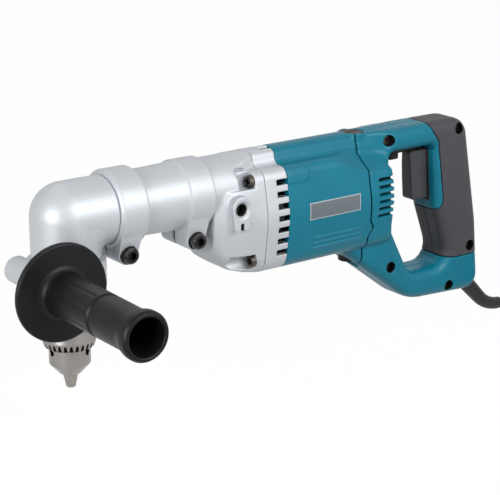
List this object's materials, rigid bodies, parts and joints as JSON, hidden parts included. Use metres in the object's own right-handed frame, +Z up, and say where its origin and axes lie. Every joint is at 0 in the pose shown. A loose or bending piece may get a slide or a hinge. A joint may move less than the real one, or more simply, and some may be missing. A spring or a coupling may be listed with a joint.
{
  "type": "right angle drill",
  "caption": "Corded right angle drill: cast elbow head with keyed chuck and side handle, split clamp coupling, gear case, moulded motor housing and closed D handle with trigger.",
  "frame": {"origin": "below the middle of the drill without its free cord, on the surface that its lowest point, the tip of the cord guard, meets", "axes": "+X along the drill axis from the elbow head to the handle, +Y to the right of the person holding it, +Z up, the spindle hangs along -Z"},
  "size_m": [0.674, 0.1934, 0.2033],
  "materials": {
    "silver_casting": "silver paint on a sand-textured aluminium casting",
    "bearing_steel": "ground bearing steel",
    "steel": "turned steel",
    "gear_steel": "hardened gear steel, oiled",
    "chuck_steel": "ground and satin plated chuck steel",
    "jaw_steel": "hardened jaw steel",
    "black_steel": "black oxide on alloy steel",
    "black_plastic": "moulded black plastic, fine texture",
    "teal_plastic": "moulded teal plastic, satin",
    "grey_grip": "moulded dark grey grip, fine texture",
    "lamination_steel": "stacked laminations",
    "copper": "copper; its density is near that of brass",
    "brass": "drawn brass",
    "carbon": null,
    "fan_plastic": "moulded fan plastic",
    "plate_aluminium": "bare printed plate, no text",
    "black_rubber": "black rubber",
    "tie_plastic": "soft strap"
  },
  "bodies": {
    "drill_body": {"coupling_sleeve": "silver_casting", "clamp_bolts": "black_steel", "gear_case": "silver_casting", "bearing_box": "silver_casting", "case_screws": "black_steel", "output_bearing": "bearing_steel", "motor_housing": "teal_plastic", "field_core": "lamination_steel", "field_coils": "copper", "motor_bearings": "bearing_steel", "brush_holders": "brass", "carbon_brushes": "carbon", "brush_caps": "black_plastic", "name_plate": "plate_aluminium", "handle_left": "teal_plastic", "handle_right": "teal_plastic", "grip_cover_left": "grey_grip", "grip_cover_right": "grey_grip", "handle_screws": "black_steel", "switch_unit": "black_plastic", "cord_clamp": "black_plastic", "cord_guard": "black_rubber", "power_cord": "black_rubber", "cord_coil": "black_rubber", "cord_tie": "tie_plastic", "plug": "black_rubber"},
    "head": {"angle_head": "silver_casting", "head_bearings": "bearing_steel", "head_spacers": "steel"},
    "pinion": {"bevel_pinion": "gear_steel"},
    "spindle": {"bevel_gear": "gear_steel", "spindle": "steel", "chuck_body": "chuck_steel"},
    "chuck_sleeve": {"chuck_sleeve": "chuck_steel"},
    "jaw_1": {"chuck_jaw_1": "jaw_steel"},
    "jaw_2": {"chuck_jaw_2": "jaw_steel"},
    "jaw_3": {"chuck_jaw_3": "jaw_steel"},
    "side_handle": {"handle_clamp": "silver_casting", "grip_stud": "steel"},
    "side_grip": {"side_grip": "black_plastic"},
    "output": {"output_shaft": "steel", "output_gear": "gear_steel"},
    "intermediate": {"intermediate_shaft": "steel", "intermediate_gear": "gear_steel"},
    "armature": {"armature_shaft": "steel", "armature_core": "lamination_steel", "commutator": "copper", "fan": "fan_plastic"},
    "trigger": {"trigger": "black_plastic"},
    "reversing_lever": {"reversing_lever": "black_plastic"}
  },
  "joints": [
    {"name": "head_swivel", "type": "hinge", "parent": "drill_body", "child": "head", "pos_m": [-0.17183, 0.06055, 0.17259], "axis": [1, 0, 0], "range_deg": [-180, 180]},
    {"name": "handle_swing", "type": "hinge", "parent": "head", "child": "side_handle", "pos_m": [-0.20183, 0.06055, 0.12859], "axis": [0, 0, 1], "range_deg": [-90, 30]},
    {"name": "grip_turn", "type": "hinge", "parent": "side_handle", "child": "side_grip", "pos_m": [-0.22983, -0.02945, 0.12859], "axis": [0, 1, 0], "range_deg": [0, 360]},
    {"name": "motor_spin", "type": "hinge", "parent": "drill_body", "child": "armature", "pos_m": [0.02817, 0.06055, 0.14459], "axis": [1, 0, 0], "continuous": true},
    {"name": "intermediate_spin", "type": "hinge", "parent": "drill_body", "child": "intermediate", "pos_m": [-0.05183, 0.07398, 0.15658], "axis": [1, 0, 0], "continuous": true},
    {"name": "output_spin", "type": "hinge", "parent": "drill_body", "child": "output", "pos_m": [-0.09183, 0.06055, 0.17259], "axis": [1, 0, 0], "continuous": true},
    {"name": "pinion_spin", "type": "hinge", "parent": "head", "child": "pinion", "pos_m": [-0.17183, 0.06055, 0.17259], "axis": [1, 0, 0], "continuous": true},
    {"name": "spindle_spin", "type": "hinge", "parent": "head", "child": "spindle", "pos_m": [-0.20183, 0.06055, 0.11259], "axis": [0, 0, 1], "continuous": true},
    {"name": "chuck_turn", "type": "hinge", "parent": "spindle", "child": "chuck_sleeve", "pos_m": [-0.20183, 0.06055, 0.08859], "axis": [0, 0, 1], "range_deg": [0, 4320]},
    {"name": "jaw_1_slide", "type": "slide", "parent": "spindle", "child": "jaw_1", "axis": [0.2588, 0, 0.9659], "range_m": [0, 0.022]},
    {"name": "jaw_2_slide", "type": "slide", "parent": "spindle", "child": "jaw_2", "axis": [-0.1294, 0.2241, 0.9659], "range_m": [0, 0.022]},
    {"name": "jaw_3_slide", "type": "slide", "parent": "spindle", "child": "jaw_3", "axis": [-0.1294, -0.2241, 0.9659], "range_m": [0, 0.022]},
    {"name": "trigger_slide", "type": "slide", "parent": "drill_body", "child": "trigger", "axis": [1, 0, 0], "range_m": [0, 0.007], "stiffness_N_per_m": 500, "springref_m": -0.008},
    {"name": "lever_turn", "type": "hinge", "parent": "drill_body", "child": "reversing_lever", "pos_m": [0.15642, 0.06055, 0.17559], "axis": [0, 0, 1], "range_deg": [-8, 8]}
  ],
  "couplings": [
    {"joint": "intermediate_spin", "follows": "motor_spin", "ratio": -0.33333},
    {"joint": "output_spin", "follows": "motor_spin", "ratio": 0.1358},
    {"joint": "pinion_spin", "follows": "motor_spin", "ratio": 0.1358},
    {"joint": "spindle_spin", "follows": "motor_spin", "ratio": 0.090535},
    {"joint": "jaw_1_slide", "follows": "chuck_turn", "m_per_rad": 0.00029178},
    {"joint": "jaw_2_slide", "follows": "chuck_turn", "m_per_rad": 0.00029178},
    {"joint": "jaw_3_slide", "follows": "chuck_turn", "m_per_rad": 0.00029178}
  ]
}
